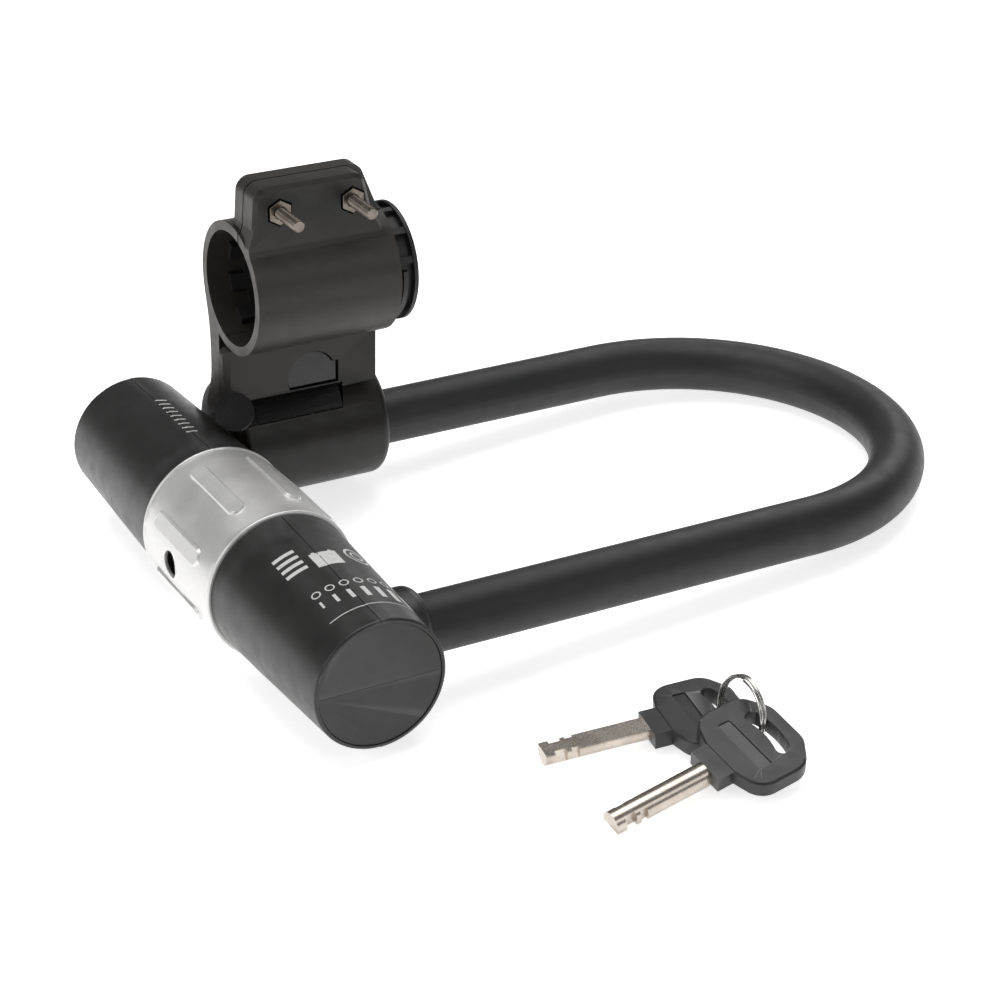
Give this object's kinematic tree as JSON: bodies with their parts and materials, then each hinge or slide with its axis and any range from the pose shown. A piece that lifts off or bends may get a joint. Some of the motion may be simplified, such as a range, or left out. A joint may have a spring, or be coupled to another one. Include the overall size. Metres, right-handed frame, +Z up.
{
  "type": "u lock",
  "caption": "Bicycle U lock: coated shackle, round crossbar with turning dust sleeve and disc core, quick-release frame bracket, keys on a split ring.",
  "frame": {"origin": "on the floor under the middle of the crossbar's axis", "axes": "+X from the crossbar towards the shackle's bend along the floor, +Y along the crossbar towards the bracket's leg, +Z up"},
  "size_m": [0.2578, 0.2531, 0.1194],
  "materials": {
    "cover": "moulded, satin",
    "cap": "moulded, satin",
    "steel": "turned",
    "coat": "vinyl coat, matt",
    "sleeve": "satin silver",
    "core": "turned, oiled",
    "brass": "stamped",
    "bracket": "moulded, satin",
    "lever": "glossy",
    "bush": "moulded",
    "fastener": "dark nickel",
    "insert": "matt",
    "key_head": "moulded",
    "key_inlay": "satin",
    "nickel": "nickel plated"
  },
  "bodies": {
    "crossbar": {"crossbar_tube": "steel", "cover_front": "cover", "cover_rear": "cover", "end_cap_near": "cap", "end_cap_far": "cap", "end_plug_near": "steel", "end_plug_far": "steel", "leg_socket_near": "steel", "leg_socket_far": "steel", "bolt_guide_near": "steel", "bolt_guide_far": "steel", "lock_housing": "steel", "housing_pin": "steel"},
    "core": {"lock_core": "core", "detainer_discs": "brass", "disc_spacers": "steel", "sidebar": "steel", "bolt_cam": "steel"},
    "bolt_near": {"deadbolt_near": "steel"},
    "bolt_far": {"deadbolt_far": "steel"},
    "sleeve": {"dust_sleeve": "sleeve"},
    "shackle": {"shackle_bar": "steel", "shackle_coat": "coat"},
    "bush": {"leg_bush": "bush"},
    "holder": {"holder_shell": "bracket", "lever_pin": "steel", "lever_spring": "steel", "catch_pad": "lever"},
    "lever": {"release_lever": "lever"},
    "clamp": {"clamp_rear": "bracket", "clamp_front": "bracket", "clamp_insert": "insert", "clamp_screws": "fastener", "clamp_nuts": "fastener"},
    "ring": {"split_ring": "nickel"},
    "key_1": {"key_head_1": "key_head", "key_inlay_1": "key_inlay", "key_blade_1": "nickel"},
    "key_2": {"key_head_2": "key_head", "key_inlay_2": "key_inlay", "key_blade_2": "nickel"}
  },
  "joints": [
    {"name": "shackle_slide", "type": "slide", "parent": "crossbar", "child": "shackle", "axis": [0.9978, 0, -0.067], "range_m": [0, 0.06]},
    {"name": "core_turn", "type": "hinge", "parent": "crossbar", "child": "core", "pos_m": [0, 0.0014, 0.0241], "axis": [-0.9978, 0, 0.067], "range_deg": [0, 90]},
    {"name": "bolt_far_slide", "type": "slide", "parent": "crossbar", "child": "bolt_far", "axis": [0, 1, 0], "range_m": [0, 0.0055]},
    {"name": "bolt_near_slide", "type": "slide", "parent": "crossbar", "child": "bolt_near", "axis": [0, -1, 0], "range_m": [0, 0.0055]},
    {"name": "dust_sleeve_turn", "type": "hinge", "parent": "crossbar", "child": "sleeve", "pos_m": [0, -0.0012, 0.0241], "axis": [0, 1, 0], "range_deg": [0, 90]},
    {"name": "bracket_slide", "type": "slide", "parent": "shackle", "child": "bush", "axis": [0.9978, 0, -0.067], "range_m": [0, 0.07]},
    {"name": "holder_turn", "type": "hinge", "parent": "bush", "child": "holder", "pos_m": [0.0459, 0.0644, 0.02102], "axis": [-0.9978, 0, 0.067], "range_deg": [0, 25]},
    {"name": "release_lever_press", "type": "hinge", "parent": "holder", "child": "lever", "pos_m": [0.04701, 0.05231, 0.03758], "axis": [0.0453, 0.7373, 0.6741], "range_deg": [0, 3], "stiffness_Nm_per_rad": 2, "springref_deg": -1.72},
    {"name": "clamp_release", "type": "slide", "parent": "holder", "child": "clamp", "axis": [0.9978, 0, -0.067], "range_m": [0, 0.05]},
    {"name": "key_ring_lift", "type": "slide", "parent": "crossbar", "child": "ring", "axis": [0, 0, 1], "range_m": [0, 0.05]},
    {"name": "key_1_swing", "type": "hinge", "parent": "ring", "child": "key_1", "pos_m": [0.08715, -0.1423, 0.0095], "axis": [0, 0, 1], "range_deg": [-1, 3]},
    {"name": "key_2_swing", "type": "hinge", "parent": "ring", "child": "key_2", "pos_m": [0.0868, -0.1285, 0.0055], "axis": [0, 0, 1], "range_deg": [-3, 2]}
  ],
  "couplings": [
    {"joint": "bolt_far_slide", "follows": "core_turn", "m_per_rad": 0.0035014},
    {"joint": "bolt_near_slide", "follows": "core_turn", "m_per_rad": 0.0035014}
  ]
}
